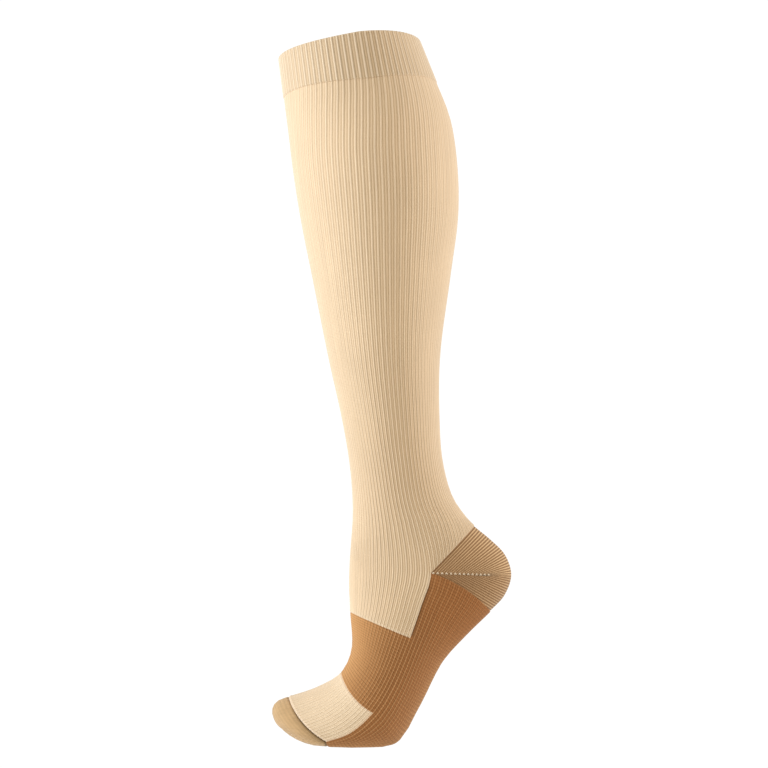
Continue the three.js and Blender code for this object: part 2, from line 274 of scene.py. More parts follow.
class TubeRing:
    """One ring of the tube, with its wales laid out along the cloth of each quarter."""

    def __init__(self, front, side, back, lay):
        self.side = side
        self.twist, self.gather, self.small_rib, self.side_wale = lay
        self.quarters = [self.measure(*front), self.measure(*back)]

    def measure(self, x, z, bow):
        """The end of a quarter ring, its bow, and how far along the cloth each step lies."""
        away = Vector((x - self.side[0], 0, z - self.side[2]))
        down_the_tube = Vector((-away.z, 0, away.x)).normalized() if away.length else Vector()
        quarter = (away, down_the_tube * bow)
        lengths = [0]
        last = self.quarter_point(quarter, 0)
        for step in range(1, ARC_STEPS + 1):
            point = self.quarter_point(quarter, step / ARC_STEPS)
            lengths.append(lengths[-1] + (point - last).length)
            last = point
        return quarter, lengths

    def quarter_point(self, quarter, part):
        """The point at part of the quarter turn from its end to the side point."""
        away, bow = quarter
        reach = math.cos(part * math.pi / 2)
        across = self.side[1] * math.sin(part * math.pi / 2)
        point = Vector((self.side[0], across, self.side[2])) + away * reach
        return point + bow * (4 * reach * (1 - reach))

    def at(self, wale):
        """The point of the cloth on a wale."""
        around = (wale - self.twist) % WALES
        mirrored = around > BACK_WALE
        around = WALES - around if mirrored else around
        on_front = around <= self.side_wale
        quarter, lengths = self.quarters[0 if on_front else 1]
        if on_front:
            share = around / self.side_wale
            share *= 1 - self.gather * (1 - share)
        else:
            share = (BACK_WALE - around) / (BACK_WALE - self.side_wale)
        length = share * lengths[-1]
        step = min(max(bisect.bisect_right(lengths, length) - 1, 0), ARC_STEPS - 1)
        span = lengths[step + 1] - lengths[step]
        part = (step + ((length - lengths[step]) / span if span else 0)) / ARC_STEPS
        point = self.quarter_point(quarter, part)
        if mirrored:
            point.y = -point.y
        return point


@lru_cache(maxsize=None)
def ring_at(station):
    """The ring at a station: whole numbers are the named rings."""
    if station > TOE_SEAM:
        return toe_ring_at((station - TOE_SEAM) * math.pi / 2)
    in_heel = min(max(station - HEEL_TOP, 0), 1)
    front_number = station - in_heel
    _, front_bow = smooth_point(BOW_LINE, front_number)
    return TubeRing(
        (*smooth_point(FRONT_LINE, front_number), front_bow),
        smooth_point(SIDE_LINE, front_number),
        smooth_point(BACK_LINE, station + in_heel * len(HEEL_ROUND)),
        lay_at(front_number),
    )


def lay_at(front_number):
    """The lay of the ribs at a ring, where the heel counts as one ring."""
    _, twist, gather, small_rib, side_wale = smooth_point(LAY_LINE, front_number)
    if front_number >= HEEL_TOP:
        side_wale = SIDE_WALE
    return twist, gather, small_rib, side_wale


def toe_ring_at(turn):
    """The toe is half an ellipsoid on the toe seam's ring, and turn runs round it."""
    seam = RINGS[-1]
    middle = [(a + b) / 2 for a, b in zip(seam.front, seam.back)]
    girth, reach = math.cos(turn), math.sin(turn)

    def drawn_in(point):
        return tuple(m + (p - m) * girth + r * reach for p, m, r in zip(point, middle, TOE_REACH))

    side = drawn_in(seam.side)
    return TubeRing(
        (*drawn_in(seam.front), seam.front_bow * girth),
        (side[0], seam.half_width * girth, side[1]),
        (*drawn_in(seam.back), 0),
        LAYS[-1][1:],
    )


@lru_cache(maxsize=None)
def line_lengths(wale, start, end, steps=60):
    """Stations from start to end, and how far along a wale each of them lies."""
    stations = [start + (end - start) * step / steps for step in range(steps + 1)]
    lengths = [0]
    for first, second in zip(stations, stations[1:]):
        lengths.append(lengths[-1] + (ring_at(second).at(wale) - ring_at(first).at(wale)).length)
    return stations, lengths


def station_at(table, length):
    """The station that lies that far along a wale."""
    stations, lengths = table
    step = min(max(bisect.bisect_right(lengths, length) - 1, 0), len(lengths) - 2)
    span = lengths[step + 1] - lengths[step]
    part = (length - lengths[step]) / span if span else 0
    return stations[step] + part * (stations[step + 1] - stations[step])


def row_places(length, row_length):
    """Distances of the rows of cloth along a patch, closer together near its two ends."""
    near_edge = [place for place in ROWS_NEAR_EDGE if place < length / 3]
    start, end = near_edge[-1], length - near_edge[-1]
    count = max(1, round((end - start) / row_length))
    between = [start + (end - start) * step / count for step in range(1, count)]
    return near_edge + between + [length - place for place in reversed(near_edge)]


def knit_length_at(station):
    """How far down the side line a station lies, as courses are counted."""
    if station > TOE_SEAM:
        turn = (station - TOE_SEAM) * math.pi / 2
        return knit_length_at(TOE_SEAM) + turn * RINGS[-1].half_width
    table = side_table()
    step = min(bisect.bisect_right(table[0], station), len(table[0]) - 1)
    span = table[0][step] - table[0][step - 1]
    part = (station - table[0][step - 1]) / span
    return table[1][step - 1] + part * (table[1][step] - table[1][step - 1])


@lru_cache(maxsize=None)
def side_table():
    """Stations and lengths down the side line, from the rim to the toe seam."""
    return line_lengths(SIDE_WALE, 0, TOE_SEAM, steps=360)


def lay_patch(bm, patch, columns_per_wale, row_length):
    """Lays one grid of cloth on the tube, and writes each corner's wale and course."""
    start, end = STATION[patch.start], STATION[patch.end]
    on_heel = patch.start == "heel_top"
    wale_line = BACK_WALE if patch.first_wale == SIDE_WALE else SIDE_WALE
    table = line_lengths(wale_line, start, end, 90)
    rows = [station_at(table, place) for place in row_places(table[1][-1], row_length)]
    if on_heel:
        row_count = UPPER_ROWS + LOWER_ROWS
        rows = [start + number / row_count for number in range(row_count + 1)]
    across = patch.last_wale - patch.first_wale
    columns = round(across * columns_per_wale)
    made = bmesh.ops.create_grid(bm, x_segments=columns, y_segments=len(rows) - 1, size=0.5)["verts"]
    column_at, row_at = grid_counter(made, 0, columns), grid_counter(made, 1, len(rows) - 1)
    wale_of, station_of = bm.verts.layers.float["wale"], bm.verts.layers.float["station"]
    places = {}
    for vert in made:
        wale = patch.first_wale + column_at(vert) / columns_per_wale
        station = rows[row_at(vert)]
        vert[wale_of] = wale
        vert[station_of] = station
        along = heel_course(station - start, wale) if on_heel else knit_length_at(station) / KNIT_LENGTH
        places[vert] = (wale / WALES, along)
        vert.co = ring_at(station).at(wale)
    knit = bm.loops.layers.uv["knit"]
    for face in {face for vert in made for face in vert.link_faces}:
        for loop in face.loops:
            loop[knit].uv = places[loop.vert]


def grid_counter(verts, axis, segments):
    """Gives the row or column of a grid's corner, counted along one axis."""
    low = min(vert.co[axis] for vert in verts)
    high = max(vert.co[axis] for vert in verts)
    places = {vert: round((vert.co[axis] - low) / (high - low) * segments) for vert in verts}
    return places.__getitem__


@lru_cache(maxsize=None)
def heel_course(turn, wale):
    """The course under a point of the turned heel, as a share of all its courses.

    Each course runs from the gore line to the back of the heel, so the courses above the
    gore lie along the heel's upper edge, and those below it along its lower edge.
    """
    reach = min(wale - SIDE_WALE, WALES - SIDE_WALE - wale)
    above = turn <= GORE_ROW
    place = heel_point(turn, reach)
    low, high = 0, 1
    for _ in range(HEEL_HALVINGS):
        share = (low + high) / 2
        start = heel_point(GORE_ROW, share * GORE_REACH * BACK_REACH)
        end = heel_point(GORE_ROW * share if above else 1 - (1 - GORE_ROW) * share, BACK_REACH)
        side = (end.x - start.x) * (place.z - start.z) - (end.z - start.z) * (place.x - start.x)
        if (side < 0) == above:
            low = share
        else:
            high = share
    courses = UPPER_COURSES * low if above else UPPER_COURSES + LOWER_COURSES * (1 - low)
    return courses / (UPPER_COURSES + LOWER_COURSES)


def heel_point(turn, reach):
    """A point of the heel at a turn from its upper edge, and some wales from the side line."""
    return ring_at(HEEL_TOP + turn).at(SIDE_WALE + reach)


def rib_rise(wale, station):
    """Height of the ribs on a wale, as a share of the full ribs on the even wales."""
    ridge = (0.5 + 0.5 * math.cos(2 * math.pi * wale)) ** 0.8
    evenness = math.cos(math.pi * wale / 2) ** 2
    small_rib = ring_at(station).small_rib
    return ridge * (small_rib + (1 - small_rib) * evenness)


def ease(part):
    """Runs smoothly from 0 to 1 as part does."""
    part = min(max(part, 0), 1)
    return part * part * (3 - 2 * part)


def edge_distances(bm):
    """How far each point of the cloth is from the nearest cut edge."""
    rim = [vert for vert in bm.verts if vert.is_boundary]
    tree = KDTree(len(rim))
    for number, vert in enumerate(rim):
        tree.insert(vert.co, number)
    tree.balance()
    return {vert: tree.find(vert.co)[2] for vert in bm.verts}


def full_share(station, wale=0):
    """An edge that shows the same all along."""
    return 1


def tongue_share(station, wale=0):
    """An edge that shows only round the tongue over the instep."""
    return ease((station - HEEL_TOP - 0.6) / 0.4)


def knit_piece(name, node, patches, sizes, material, rib=0, wall=None, columns_per_wale=4, shape=None,
               edge_share=full_share, rib_show=full_share):
    """Knits one zone: its patches on the tube, raised into ribs, with a plain inside."""
    bm = laid_cloth(patches, columns_per_wale, sizes.row_length)
    note_edges(bm, edge_share, rib_show)
    raise_cloth(bm, sizes, rib, wall or sizes.wall, shape)
    return finish_piece(bm, name, node, material)


def laid_cloth(patches, columns_per_wale, row_length):
    """The patches as one open layer of cloth on the tube, with its faces outwards."""
    bm = bmesh.new()
    bm.loops.layers.uv.new("knit")
    for layer in ("wale", "station", "distance", "closeness", "rib_show"):
        bm.verts.layers.float.new(layer)
    for layer in ("plain", "out"):
        bm.verts.layers.float_vector.new(layer)
    for patch in patches:
        lay_patch(bm, patch, columns_per_wale, row_length)
    bmesh.ops.remove_doubles(bm, verts=bm.verts[:], dist=MERGE_DISTANCE)
    bmesh.ops.recalc_face_normals(bm, faces=bm.faces[:])
    face_outwards(bm)
    bm.normal_update()
    return bm


def note_edges(bm, edge_share, rib_show):
    """Writes each point's plain place, the way out, and how near a cut edge it is."""
    layers = bm.verts.layers
    wale_of, station_of = layers.float["wale"], layers.float["station"]
    distance_of, closeness_of = layers.float["distance"], layers.float["closeness"]
    rib_show_of = layers.float["rib_show"]
    plain, out = layers.float_vector["plain"], layers.float_vector["out"]
    distances = edge_distances(bm)
    for vert in bm.verts:
        vert[plain] = vert.co
        vert[out] = vert.normal
        vert[distance_of] = distances[vert]
        shown = edge_share(vert[station_of], vert[wale_of])
        vert[closeness_of] = max(0, 1 - distances[vert] / EDGE_BAND) * shown
        vert[rib_show_of] = rib_show(vert[station_of])


def raise_cloth(bm, sizes, rib, wall, shape):
    """Gives the cloth its wall, and raises the ribs and edges in its outer face."""
    layers = bm.verts.layers
    wale_of, station_of, distance_of = (layers.float[name] for name in ("wale", "station", "distance"))
    plain, out = layers.float_vector["plain"], layers.float_vector["out"]
    outer = set(bm.verts)
    bmesh.ops.solidify(bm, geom=bm.faces[:], thickness=wall)
    for vert in bm.verts:
        distance = vert[distance_of]
        height = rib * rib_rise(vert[wale_of], vert[station_of]) if rib else 0
        height -= sizes.edge_drop * (1 - ease(distance / sizes.edge_reach))
        depth = wall
        if shape:
            height, depth = shape(vert[station_of], distance, height, wall)
        rise = height if vert in outer else -depth
        vert.co = vert[plain] + vert[out] * rise
    if bm.calc_volume(signed=True) < 0:
        bmesh.ops.reverse_faces(bm, faces=bm.faces[:])


def share_along(**shares):
    """A share that runs evenly from one named ring to the next."""
    stations = [STATION[name] for name in shares]
    values = list(shares.values())

    def share_at(station):
        after = min(max(bisect.bisect_right(stations, station), 1), len(stations) - 1)
        span = stations[after] - stations[after - 1]
        part = min(max((station - stations[after - 1]) / span, 0), 1)
        return values[after - 1] + part * (values[after] - values[after - 1])

    return share_at


def hump(distance, place, width):
    """A smooth hump that is 1 at its place and falls away on both sides."""
    return math.exp(-(((distance - place) / width) ** 2))


def rolled_edge(distance, roll):
    """The small roll of cloth along an edge that lies on the next zone."""
    return roll * hump(distance, ROLL_PLACE, ROLL_WIDTH)


def face_outwards(bm):
    """Turns the cloth so that its faces point away from the inside of the tube."""
    wale_of, station_of = bm.verts.layers.float["wale"], bm.verts.layers.float["station"]
    faces_tested = 200
    score = 0
    for face in list(bm.faces)[:: max(1, len(bm.faces) // faces_tested)]:
        vert = face.verts[0]
        ring = ring_at(vert[station_of])
        middle = (ring.at(0) + ring.at(BACK_WALE)) / 2
        score += face.normal.dot(face.calc_center_median() - middle)
    if score < 0:
        bmesh.ops.reverse_faces(bm, faces=bm.faces[:])


def finish_piece(bm, name, node, material):
    """Makes an object of the mesh, which rides on the body and stands for its solid."""
    for face in bm.faces:
        face.smooth = True
    for edge in bm.edges:
        if len(edge.link_faces) == 2 and edge.calc_face_angle() > SHARP_EDGE:
            edge.smooth = False
    mesh = bpy.data.meshes.new(name)
    bm.to_mesh(mesh)
    bm.free()
    mesh.materials.append(material)
    piece = bpy.data.objects.new(name, mesh)
    bpy.context.scene.collection.objects.link(piece)
    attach(piece, "root")
    if node:
        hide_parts(node)
    return piece


class KnitNodes:
    """Writes a material's nodes, one short call for each step."""

    def __init__(self, name):
        self.material = bpy.data.materials.new(name)
        self.material.use_nodes = True
        self.tree = self.material.node_tree
        self.shader = next(node for node in self.tree.nodes if node.type == "BSDF_PRINCIPLED")
        self.uv = self.node("ShaderNodeUVMap", uv_map="knit").outputs["UV"]
        self.place = self.node("ShaderNodeTexCoord").outputs["Object"]

    def node(self, kind, **settings):
        """Adds a node with its settings."""
        made = self.tree.nodes.new(kind)
        for setting, value in settings.items():
            setattr(made, setting, value)
        return made

    def feed(self, socket, value):
        """Links an output to the socket, or sets the socket's own value."""
        if isinstance(value, bpy.types.NodeSocket):
            self.tree.links.new(value, socket)
        elif value is not None:
            socket.default_value = value

    def math(self, operation, first, second=None, clamp=False):
        """One step of arithmetic."""
        made = self.node("ShaderNodeMath", operation=operation, use_clamp=clamp)
        self.feed(made.inputs[0], first)
        self.feed(made.inputs[1], second)
        return made.outputs[0]

    def times(self, first, second, clamp=False):
        """The product of two values."""
        return self.math("MULTIPLY", first, second, clamp)

    def plus(self, first, second):
        """The sum of two values."""
        return self.math("ADD", first, second)

    def wave(self, turns):
        """Runs from 0 to 1 and back once in each turn, and is 1 at whole turns."""
        swing = self.math("COSINE", self.times(turns, 2 * math.pi))
        return self.plus(self.times(swing, 0.5), 0.5)

    def mix(self, factor, first, second, blend="MIX"):
        """Two colours mixed. A colour mix has them on its sockets 6 and 7."""
        made = self.node("ShaderNodeMix", data_type="RGBA", blend_type=blend)
        self.feed(made.inputs["Factor"], factor)
        self.feed(made.inputs[6], first)
        self.feed(made.inputs[7], second)
        return made.outputs[2]

    def noise(self, scale, detail=3, vector=None):
        """Noise over the object's own coordinates, or over the vector."""
        made = self.node("ShaderNodeTexNoise")
        self.feed(made.inputs["Vector"], self.place if vector is None else vector)
        self.feed(made.inputs["Scale"], scale)
        self.feed(made.inputs["Detail"], detail)
        return made.outputs["Fac"]

    def attribute(self, name):
        """One of the values that the cloth's points carry."""
        return self.node("ShaderNodeAttribute", attribute_name=name).outputs["Fac"]

    def bump(self, height, distance):
        """Raises the surface by the height, where 1 is the distance."""
        made = self.node("ShaderNodeBump")
        self.feed(made.inputs["Height"], height)
        self.feed(made.inputs["Distance"], distance)
        self.feed(made.inputs["Strength"], 1)
        self.tree.links.new(made.outputs["Normal"], self.shader.inputs["Normal"])

    def wales_and_courses(self, course_height):
        """The wale and the course under each point, counted from the knit map."""
        split = self.node("ShaderNodeSeparateXYZ")
        self.feed(split.inputs[0], self.uv)
        wale = self.times(split.outputs["X"], WALES)
        course = self.times(split.outputs["Y"], KNIT_LENGTH / course_height)
        return wale, course

    def stitches(self, wale, course):
        """Height of the knit's loops: one V in each wale, one row of them in each course."""
        leg_share = 0.6
        in_wale = self.math("FRACT", wale)
        slant = self.math("ABSOLUTE", self.plus(in_wale, -0.5))
        row = self.math("FRACT", self.plus(course, slant))
        loop = self.math("SINE", self.times(row, math.pi))
        leg = self.math("SINE", self.times(in_wale, math.pi))
        return self.times(loop, self.plus(self.times(leg, leg_share), 1 - leg_share))

    def wale_streaks(self):
        """Faint differences from wale to wale, which fade in and out along the tube."""
        changes_along_the_tube = 9
        split = self.node("ShaderNodeSeparateXYZ")
        self.feed(split.inputs[0], self.uv)
        place = self.node("ShaderNodeCombineXYZ")
        self.feed(place.inputs["X"], self.times(split.outputs["X"], WALES))
        self.feed(place.inputs["Y"], self.times(split.outputs["Y"], changes_along_the_tube))
        return self.noise(1, 1, place.outputs[0])

    def uneven(self, colour):
        """The colour with the faint clouds, streaks and flecks of knitted yarn."""
        cloud_scale, cloud_share = 22, 0.10
        fleck_scale, fleck_share = 900, 0.08
        streak_share = 0.22
        darkest = 0.80
        clouds = self.times(self.noise(cloud_scale, 2), cloud_share)
        flecks = self.times(self.noise(fleck_scale, 2), fleck_share)
        streaks = self.times(self.wale_streaks(), streak_share)
        value = self.plus(self.plus(clouds, flecks), self.plus(streaks, darkest))
        grey = self.node("ShaderNodeCombineColor")
        for socket in grey.inputs:
            self.feed(socket, value)
        return self.mix(1, colour, grey.outputs[0], blend="MULTIPLY")

    def finish(self, colour, sheen, sheen_tint):
        """Gives the shader its colour and the soft, matte finish of yarn."""
        self.feed(self.shader.inputs["Base Color"], colour)
        self.shader.inputs["Roughness"].default_value = 0.85
        self.shader.inputs["Specular IOR Level"].default_value = 0.15
        self.shader.inputs["Sheen Weight"].default_value = sheen
        self.shader.inputs["Sheen Roughness"].default_value = 0.45
        self.shader.inputs["Sheen Tint"].default_value = (*sheen_tint, 1)
        return self.material


def rgba(colour, times=1.0):
    """A colour property as a socket's value, made darker or lighter."""
    return (*(min(1, part * times) for part in colour), 1)


def ribbed_material(name, colour, shade, light, ridge_share=0.3, valley_shade_share=0.6, edge=None, sheen=0.38,
                    sheen_tint=(0.85, 0.95, 1), course_shade_share=0.0, front=None, ridge_sharpness=5):
    """Ribbed knit with its stitches: a painted highlight along each full rib (on the sole, lighter yarn as
    well), and painted shade in the valleys, between the loops and between the courses.

    The edge is a colour and its share, painted near the zone's cut edges: the leg and toe panel get a
    painted highlight on their rolled edges, the sole a painted shadow beside the tongue.
    """
    front_light_share, loop_shade_share = 0.85, 0.12
    fibre_scale, fibre_height = 2600, 0.35
    knit = KnitNodes(name)
    wale, course = knit.wales_and_courses(COURSE_HEIGHT)
    stitches = knit.stitches(wale, course)
    # rib_show sets how strongly the painted rib highlight and valley shade show at each place along the
    # tube.
    show = knit.attribute("rib_show")
    full_rib = knit.times(knit.math("POWER", knit.wave(knit.times(wale, 0.5)), ridge_sharpness), show)
    # Painted shade in the valleys between the ribs.
    valley = knit.times(knit.math("SUBTRACT", 1, knit.wave(wale)), show)
    base = knit.mix(knit.times(valley, valley_shade_share), rgba(colour), rgba(shade))
    if front:
        # Painted light: lighter towards the front of the foot, where light falls on it.
        painted_front_light = knit.math("POWER", knit.wave(knit.times(wale, 1 / WALES)), 2)
        base = knit.mix(knit.times(painted_front_light, front_light_share), base, rgba(front))
    # Painted highlight along the tops of the full ribs.
    ribs = knit.mix(knit.times(full_rib, ridge_share), base, rgba(light))
    # Painted shade between the courses and between the loops.
    painted_shade_between_courses = knit.times(knit.wave(knit.times(course, 0.5)), course_shade_share)
    painted_shade_between_loops = knit.times(knit.math("SUBTRACT", 1, stitches), loop_shade_share)
    shaded = knit.mix(knit.plus(painted_shade_between_loops, painted_shade_between_courses), ribs, rgba(shade, 0.9))
    # Painted light along the cut edges: a highlight on rolled edges, a shadow beside them.
    if edge:
        near_edge = knit.math("POWER", knit.attribute("closeness"), 2.5)
        shaded = knit.mix(knit.times(near_edge, edge[1]), shaded, rgba(edge[0]))
    fibres = knit.times(knit.noise(fibre_scale, 3), fibre_height)
    knit.bump(knit.plus(stitches, fibres), STITCH_DEPTH)
    return knit.finish(knit.uneven(shaded), sheen, sheen_tint)


class KNIT_OT_cuff(bpy.types.Operator):
    """Knit the folded cuff"""

    bl_idname = "stocking.cuff"
    bl_label = "Cuff"

    def execute(self, context):
        sizes, colours = context.scene.stocking_sizes, context.scene.stocking_colours
        # The cuff's ribs get a painted highlight on their tops and painted shade in their valleys.
        material = ribbed_material(
            "cuff_knit", colours.cuff, colours.cuff_shade, colours.cuff_rib_highlight,
            ridge_share=0.55, valley_shade_share=0.5,
        )

        def fold_the_rim(station, distance, height, wall):
            return folded_edge(station, distance, height + sizes.cuff_rise, wall)

        piece = knit_piece(
            "cuff_cloth",
            "cuff",
            [Patch("rim", "cuff_base", *AROUND)],
            sizes,
            material,
            rib=sizes.rib_height * 1.1,
            wall=sizes.welt_wall,
            shape=fold_the_rim,
        )
        return {"FINISHED"}


def folded_edge(station, distance, height, wall):
    """Rounds the cuff's free edge, where the cloth is folded over, and its lower edge."""
    lower_half = 0.5
    edge_height = 0.25
    if station > lower_half:
        return height * ease(edge_height + (1 - edge_height) * distance / CUFF_EDGE_WIDTH), wall
    radius = wall / 2
    if distance >= radius:
        return height, wall
    share = math.sqrt(max(0, radius ** 2 - (radius - distance) ** 2)) / radius
    return -radius + (radius + height) * share, radius + radius * share


class KNIT_OT_leg(bpy.types.Operator):
    """Knit the ribbed leg and its tongue over the instep"""

    bl_idname = "stocking.leg"
    bl_label = "Leg and instep"

    def execute(self, context):
        sizes, colours = context.scene.stocking_sizes, context.scene.stocking_colours
        # The leg's ribs get a painted highlight and painted shade; the gore stitches' light colour is
        # painted along the tongue's rolled edges as a highlight.
        material = ribbed_material(
            "leg_knit", colours.leg, colours.leg_shade, colours.leg_rib_highlight,
            ridge_share=0.5, edge=(colours.stitch, 0.6),
        )

        def roll_the_tongue(station, distance, height, wall):
            return height + rolled_edge(distance, sizes.edge_roll * tongue_share(station)), wall

        piece = knit_piece(
            "leg_and_instep_cloth",
            "leg_and_instep",
            [Patch("cuff_base", "heel_top", *AROUND), Patch("heel_base", "arch", *FRONT)],
            sizes,
            material,
            rib=sizes.rib_height,
            shape=roll_the_tongue,
            edge_share=tongue_share,
            # rib_show sets how strongly the painted rib highlight and valley shade show down the leg.
            rib_show=share_along(
                cuff_base=0.75,
                calf_low=0.75,
                shin_mid=0.6,
                shin_end=0.75,
                ankle=1.1,
                heel_top=0.65,
                heel_base=0.65,
                arch_rise=0.55,
            ),
        )
        return {"FINISHED"}


class KNIT_OT_heel(bpy.types.Operator):
    """Knit the plaited heel pocket"""

    bl_idname = "stocking.heel"
    bl_label = "Heel pocket"

    def execute(self, context):
        sizes, colours = context.scene.stocking_sizes, context.scene.stocking_colours
        piece = knit_piece(
            "heel_pocket_cloth",
            "heel_pocket",
            [Patch("heel_top", "heel_base", *BACK)],
            sizes,
            heel_material(colours),
            columns_per_wale=2,
            edge_share=upper_edge_share,
        )
        return {"FINISHED"}


def upper_edge_share(station, wale):
    """An edge that shows only above the heel's gore."""
    return ease((GORE_ROW - (station - HEEL_TOP)) / 0.2)


def heel_material(colours):
    """Plaited heel: a light and a dark stripe for each course, broken up into stitches, with a painted
    highlight towards the back of the heel.
    """
    light_below, light_above, back_highlight_share = 0.21, 0.29, 0.5
    knit = KnitNodes("heel_plait_knit")
    split = knit.node("ShaderNodeSeparateXYZ")
    knit.feed(split.inputs[0], knit.uv)
    wale = knit.times(split.outputs["X"], WALES)
    course = knit.times(split.outputs["Y"], UPPER_COURSES + LOWER_COURSES)
    stripe = knit.math("POWER", knit.wave(course), 1.3)
    stitches = knit.wave(knit.times(wale, 1.5))
    above = knit.times(knit.math("SUBTRACT", UPPER_COURSES + 1, course), 1, clamp=True)
    # Painted highlight: the light stripes show more towards the back of the heel.
    back_highlight = knit.math("POWER", knit.wave(knit.plus(knit.times(wale, 1 / WALES), 0.5)), 6)
    at_side = knit.plus(knit.times(above, light_above), light_below)
    share = knit.plus(at_side, knit.times(back_highlight, back_highlight_share))
    light = knit.times(stripe, knit.times(share, knit.plus(knit.times(stitches, 0.4), 0.6)))
    base = knit.mix(knit.plus(light, 0.1), rgba(colours.heel), rgba(colours.heel_light))
    near_edge = knit.math("POWER", knit.attribute("closeness"), 6)
    edged = knit.mix(knit.times(near_edge, 0.55), base, rgba(colours.heel, 0.8))
    knit.bump(knit.plus(stripe, knit.times(stitches, 0.35)), 0.0003)
    return knit.finish(knit.uneven(edged), 0.2, (1, 0.93, 0.82))


class KNIT_OT_gore_stitches(bpy.types.Operator):
    """Stitch the light loops along the heel's two gore lines"""

    bl_idname = "stocking.gore_stitches"
    bl_label = "Gore stitches"

    def execute(self, context):
        sizes, colours = context.scene.stocking_sizes, context.scene.stocking_colours
        bm = bmesh.new()
        for first, step in ((SIDE_WALE, 1), (WALES - SIDE_WALE, -1)):
            for number in range(sizes.gore_stitches):
                share = (number + 0.5) / sizes.gore_stitches
                wale = first + step * share * GORE_REACH * BACK_REACH
                for tilt in (-0.35, 0.35):
                    add_loop(bm, wale, tilt, sizes)
        piece = finish_piece(bm, "heel_gore_stitches", None, stitch_material(colours))
        return {"FINISHED"}


def add_loop(bm, wale, tilt, sizes):
    """One leg of a stitch: a short rounded strand that lies tilted on the heel."""
    aside, lift = 0.001, 0.0001
    near = 0.02
    station = HEEL_TOP + GORE_ROW
    middle = ring_at(station).at(wale)
    across = (ring_at(station).at(wale + 0.5) - ring_at(station).at(wale - 0.5)).normalized()
    down = (ring_at(station + near).at(wale) - ring_at(station - near).at(wale)).normalized()
    out = across.cross(down).normalized()
    if out.dot(middle - HEEL_MIDDLE) < 0:
        out = -out
    strand = bmesh.ops.create_icosphere(bm, subdivisions=2, radius=0.5)["verts"]
    long_side = (down + across * tilt).normalized()
    short_side = out.cross(long_side).normalized()
    for vert in strand:
        x, y, z = vert.co
        vert.co = (
            middle
            + across * (tilt * aside)
            + out * (lift + z * sizes.stitch_width)
            + long_side * (x * sizes.stitch_length)
            + short_side * (y * sizes.stitch_width)
        )


def stitch_material(colours):
    """Light twisted yarn."""
    knit = KnitNodes("gore_stitch_yarn")
    strands = knit.noise(1500, 2)
    colour = knit.mix(knit.times(strands, 0.5), rgba(colours.stitch), rgba(colours.stitch, 0.8))
    knit.bump(strands, 0.0001)
    return knit.finish(colour, 0.3, (1, 0.95, 0.86))


class KNIT_OT_sole(bpy.types.Operator):
    """Knit the copper-brown sole and the band round the arch"""

    bl_idname = "stocking.sole"
    bl_label = "Sole and arch band"

    def execute(self, context):
        sizes, colours = context.scene.stocking_sizes, context.scene.stocking_colours
        # Painted light on the sole: the front of the foot lighter, a painted shadow beside the tongue, and
        # painted shade between the courses.
        material = ribbed_material(
            "sole_knit", colours.copper, colours.copper_shade, colours.copper_rib_yarn_and_highlight,
            ridge_share=0.5, valley_shade_share=0.65, edge=(colours.tongue_shadow, 0.85), sheen=0.2,
            sheen_tint=(1, 0.9, 0.75), course_shade_share=0.32, front=colours.copper_front_painted_light, ridge_sharpness=2.5,
        )

        def roll_the_seam(station, distance, height, wall):
            return seam_profile(station, height, sizes, 0.2), wall

        piece = knit_piece(
            "sole_and_arch_band_cloth",
            "sole_and_arch_band",
            [
                Patch("heel_base", "arch", *BACK),
                Patch("arch", "ball", *AROUND),
                Patch("ball", "toe_seam", *BACK),
            ],
            sizes,
            material,
            rib=sizes.rib_height,
            shape=roll_the_seam,
            edge_share=beside_tongue_share,
            rib_show=share_along(heel_base=0.35, arch_rise=0.5, arch=1, ball_rise=1.15, ball=1),
        )
        return {"FINISHED"}


def beside_tongue_share(station, wale):
    """An edge that shows only on the sole, along the tongue's two sides."""
    return ease((station - HEEL_TOP - 1) / 0.3) * ease((STATION["arch"] - station) / 0.1)


class KNIT_OT_toe_panel(bpy.types.Operator):
    """Knit the pale panel on top of the front foot"""

    bl_idname = "stocking.toe_panel"
    bl_label = "Toe panel"

    def execute(self, context):
        sizes, colours = context.scene.stocking_sizes, context.scene.stocking_colours
        # The toe panel's rolled edge gets a painted highlight.
        material = ribbed_material(
            "toe_panel_knit", colours.toe_panel, colours.leg_shade, colours.leg_rib_highlight,
            ridge_share=0.4, valley_shade_share=0.4, edge=(colours.panel_edge_highlight, 0.4),
        )

        def roll_the_seam(station, distance, height, wall):
            rolled = height + rolled_edge(distance, sizes.edge_roll * 0.8)
            return seam_profile(station, rolled, sizes, 0.15), wall

        piece = knit_piece(
            "toe_panel_cloth",
            "toe_panel",
            [Patch("ball", "toe_seam", *FRONT)],
            sizes,
            material,
            rib=sizes.rib_height * 0.65,
            shape=roll_the_seam,
        )
        return {"FINISHED"}


def seam_profile(station, height, sizes, ridge_share):
    """Raises the rolled edge beside the toe seam and sinks the seam itself."""
    along = abs(knit_length_at(station) - knit_length_at(TOE_SEAM))
    ridge = hump(along, SEAM_RIDGE_PLACE, SEAM_RIDGE_WIDTH)
    groove = hump(along, 0, SEAM_GROOVE_WIDTH)
    return height + sizes.seam_ridge * ridge_share * ridge - sizes.seam_groove * groove


class KNIT_OT_toe_cap(bpy.types.Operator):
    """Knit the plain tan toe cap"""

    bl_idname = "stocking.toe_cap"
    bl_label = "Toe cap"

    def execute(self, context):
        sizes, colours = context.scene.stocking_sizes, context.scene.stocking_colours

        def roll_the_seam(station, distance, height, wall):
            return seam_profile(station, height, sizes, 0.2), wall

        piece = knit_piece(
            "toe_cap_cloth",
            "toe_cap",
            [Patch("toe_seam", "toe_tip", *AROUND)],
            sizes,
            toe_cap_material(colours),
            columns_per_wale=1,
            shape=roll_the_seam,
            edge_share=seam_shadow_share,
        )
        return {"FINISHED"}


